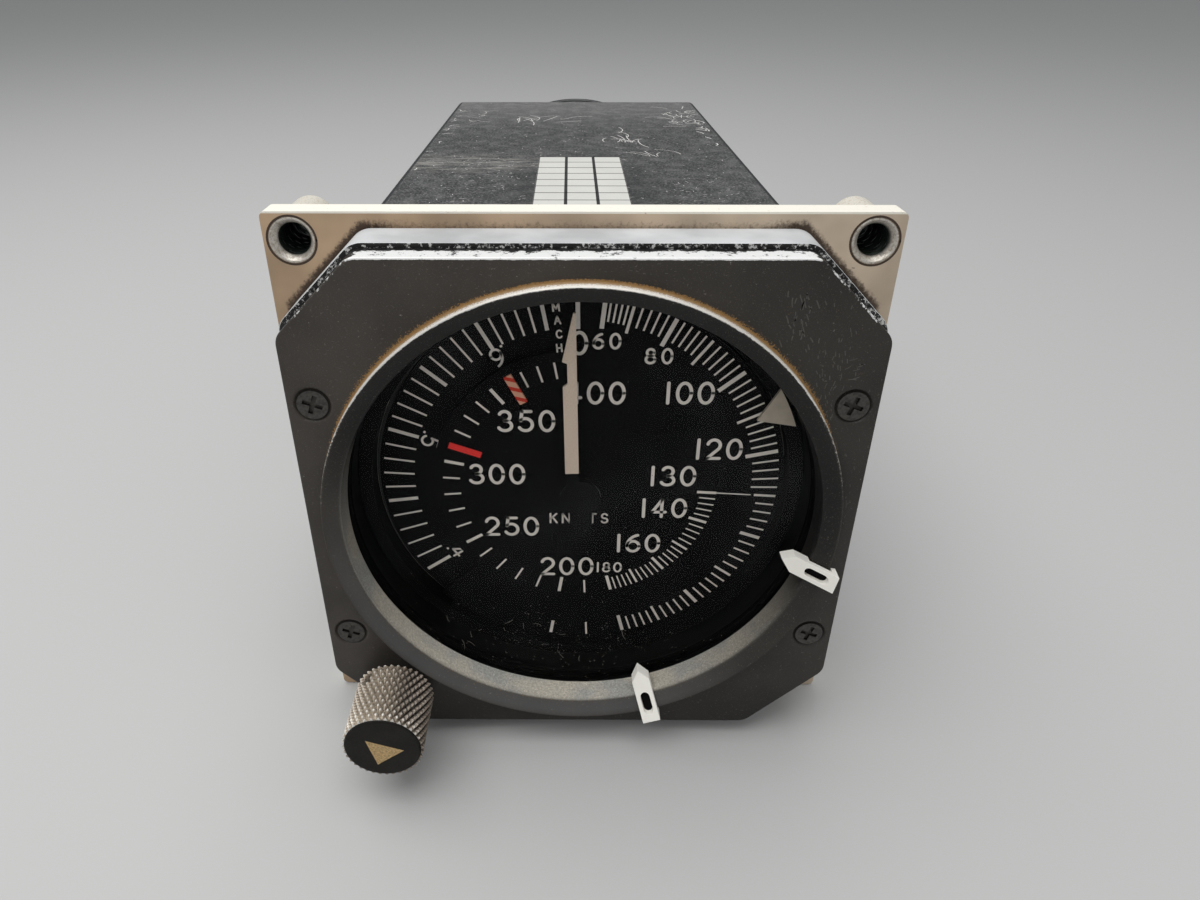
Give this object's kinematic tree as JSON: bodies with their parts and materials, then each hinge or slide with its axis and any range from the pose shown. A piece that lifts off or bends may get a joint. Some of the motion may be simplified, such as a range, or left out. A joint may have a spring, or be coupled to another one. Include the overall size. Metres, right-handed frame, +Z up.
{
  "type": "airspeed indicator",
  "caption": "Square-flanged aircraft airspeed and Mach instrument with a round dial, moving pointers, setting knob, sliding reference bugs and a long box case.",
  "frame": {"origin": "centre of the four mounting nuts, on the dial axis at the mounting flange's front face", "axes": "+Y runs back into the instrument along its length, +X to the right and +Z up for someone who reads the dial"},
  "size_m": [0.0826, 0.2048, 0.0826],
  "materials": {
    "flange_paint": "worn cream paint",
    "nut_steel": "plated steel",
    "bare_aluminium": "bare, scuffed",
    "black_paint": "matt black paint, worn at the edges",
    "case_paint": "crackle-smooth black paint, scuffed",
    "seal_rubber": "matt",
    "screw_steel": "blackened",
    "glass": "clear, dusty",
    "bug_plastic": "off-white",
    "knob_metal": "knurled, worn anodising",
    "black_plastic": "matt",
    "dial_paint": "matt black",
    "hand_paint": "matt cream",
    "limit_paint": "cream with red stripes",
    "steel": "polished pivots",
    "brass": "satin",
    "spring_bronze": "thin corrugated sheet",
    "plate_metal": "satin",
    "label_white": "plain sticker with ruled lines",
    "fitting_metal": "anodised",
    "plug_metal": "olive plated"
  },
  "bodies": {
    "housing": {"mounting_flange": "flange_paint", "mounting_nuts": "nut_steel", "bezel_frame": "bare_aluminium", "bezel_cover": "black_paint", "bezel_seal": "seal_rubber", "bezel_screws": "screw_steel", "window_glass": "glass", "glass_seal": "seal_rubber", "shaft_bush": "brass", "shaft_seal": "seal_rubber", "dial_plate": "dial_paint", "dial_bush": "brass", "hairspring": "spring_bronze", "hairspring_stud": "brass", "front_plate": "plate_metal", "rear_plate": "plate_metal", "front_bearings": "brass", "rear_bearings": "brass", "front_posts": "brass", "plate_pillars": "brass", "pillar_screws": "steel", "airspeed_capsule": "spring_bronze", "altitude_capsule": "spring_bronze", "airspeed_bracket": "plate_metal", "altitude_bracket": "plate_metal", "bracket_screws": "steel", "pitot_line": "spring_bronze", "case_body": "case_paint", "case_seal": "seal_rubber", "case_screws": "steel", "data_label": "label_white", "rear_seal": "seal_rubber", "rear_cover": "case_paint", "rear_screws": "steel", "pitot_port": "fitting_metal", "static_port": "fitting_metal", "electrical_connector": "plug_metal", "connector_pins": "brass"},
    "setting_knob": {"knob": "knob_metal", "knob_cap": "black_plastic", "knob_set_screw": "screw_steel", "knob_shaft": "steel", "knob_pinion": "brass"},
    "bug_ring": {"speed_bug_ring": "black_plastic", "speed_bug": "hand_paint"},
    "airspeed_hand": {"airspeed_pointer": "hand_paint", "hand_staff": "steel"},
    "airspeed_train": {"airspeed_sector": "brass", "airspeed_arbor": "steel"},
    "airspeed_feeler": {"airspeed_post": "steel"},
    "mach_scale": {"mach_disc": "dial_paint", "mach_gear": "brass"},
    "limit_hand": {"limit_pointer": "limit_paint", "limit_tube": "brass"},
    "altitude_train": {"altitude_sectors": "brass", "altitude_arbor": "steel"},
    "altitude_feeler": {"altitude_post": "steel"},
    "right_bug": {"reference_bug_right": "bug_plastic"},
    "lower_bug": {"reference_bug_lower": "bug_plastic"}
  },
  "joints": [
    {"name": "knob_turn", "type": "hinge", "parent": "housing", "child": "setting_knob", "pos_m": [-0.02865, 0, -0.02988], "axis": [0, 1, 0], "continuous": true},
    {"name": "speed_bug_turn", "type": "hinge", "parent": "housing", "child": "bug_ring", "pos_m": [0, 0, 0], "axis": [0, 1, 0], "continuous": true},
    {"name": "airspeed_sector_turn", "type": "hinge", "parent": "housing", "child": "airspeed_train", "pos_m": [0, 0, -0.0225], "axis": [0, 1, 0], "range_deg": [-43.75, 0]},
    {"name": "pointer_turn", "type": "hinge", "parent": "housing", "child": "airspeed_hand", "pos_m": [0, 0, 0], "axis": [0, 1, 0], "range_deg": [0, 350]},
    {"name": "airspeed_post_slide", "type": "slide", "parent": "housing", "child": "airspeed_feeler", "axis": [-1, 0, 0], "range_m": [0, 0.0038]},
    {"name": "mach_turn", "type": "hinge", "parent": "housing", "child": "mach_scale", "pos_m": [0, 0, 0], "axis": [0, 1, 0], "range_deg": [-150, 10]},
    {"name": "altitude_turn", "type": "hinge", "parent": "housing", "child": "altitude_train", "pos_m": [-0.022, 0, 0], "axis": [0, 1, 0], "range_deg": [-3, 44.2]},
    {"name": "limit_turn", "type": "hinge", "parent": "housing", "child": "limit_hand", "pos_m": [0, 0, 0], "axis": [0, 1, 0], "range_deg": [-132.5, 9]},
    {"name": "altitude_post_slide", "type": "slide", "parent": "housing", "child": "altitude_feeler", "axis": [0, 0, -1], "range_m": [-0.0003, 0.0038]},
    {"name": "right_bug_slide", "type": "hinge", "parent": "housing", "child": "right_bug", "pos_m": [0, 0, 0], "axis": [0, 1, 0], "range_deg": [-88, 24]},
    {"name": "lower_bug_slide", "type": "hinge", "parent": "housing", "child": "lower_bug", "pos_m": [0, 0, 0], "axis": [0, 1, 0], "range_deg": [-22, 38]}
  ],
  "couplings": [
    {"joint": "knob_turn", "follows": "speed_bug_turn", "ratio": -5.5714},
    {"joint": "pointer_turn", "follows": "airspeed_sector_turn", "ratio": -8},
    {"joint": "airspeed_post_slide", "follows": "airspeed_sector_turn", "m_per_rad": -0.0048835},
    {"joint": "altitude_turn", "follows": "mach_turn", "ratio": -0.29412},
    {"joint": "limit_turn", "follows": "mach_turn", "ratio": 0.88235},
    {"joint": "altitude_post_slide", "follows": "mach_turn", "m_per_rad": -0.0014341}
  ]
}
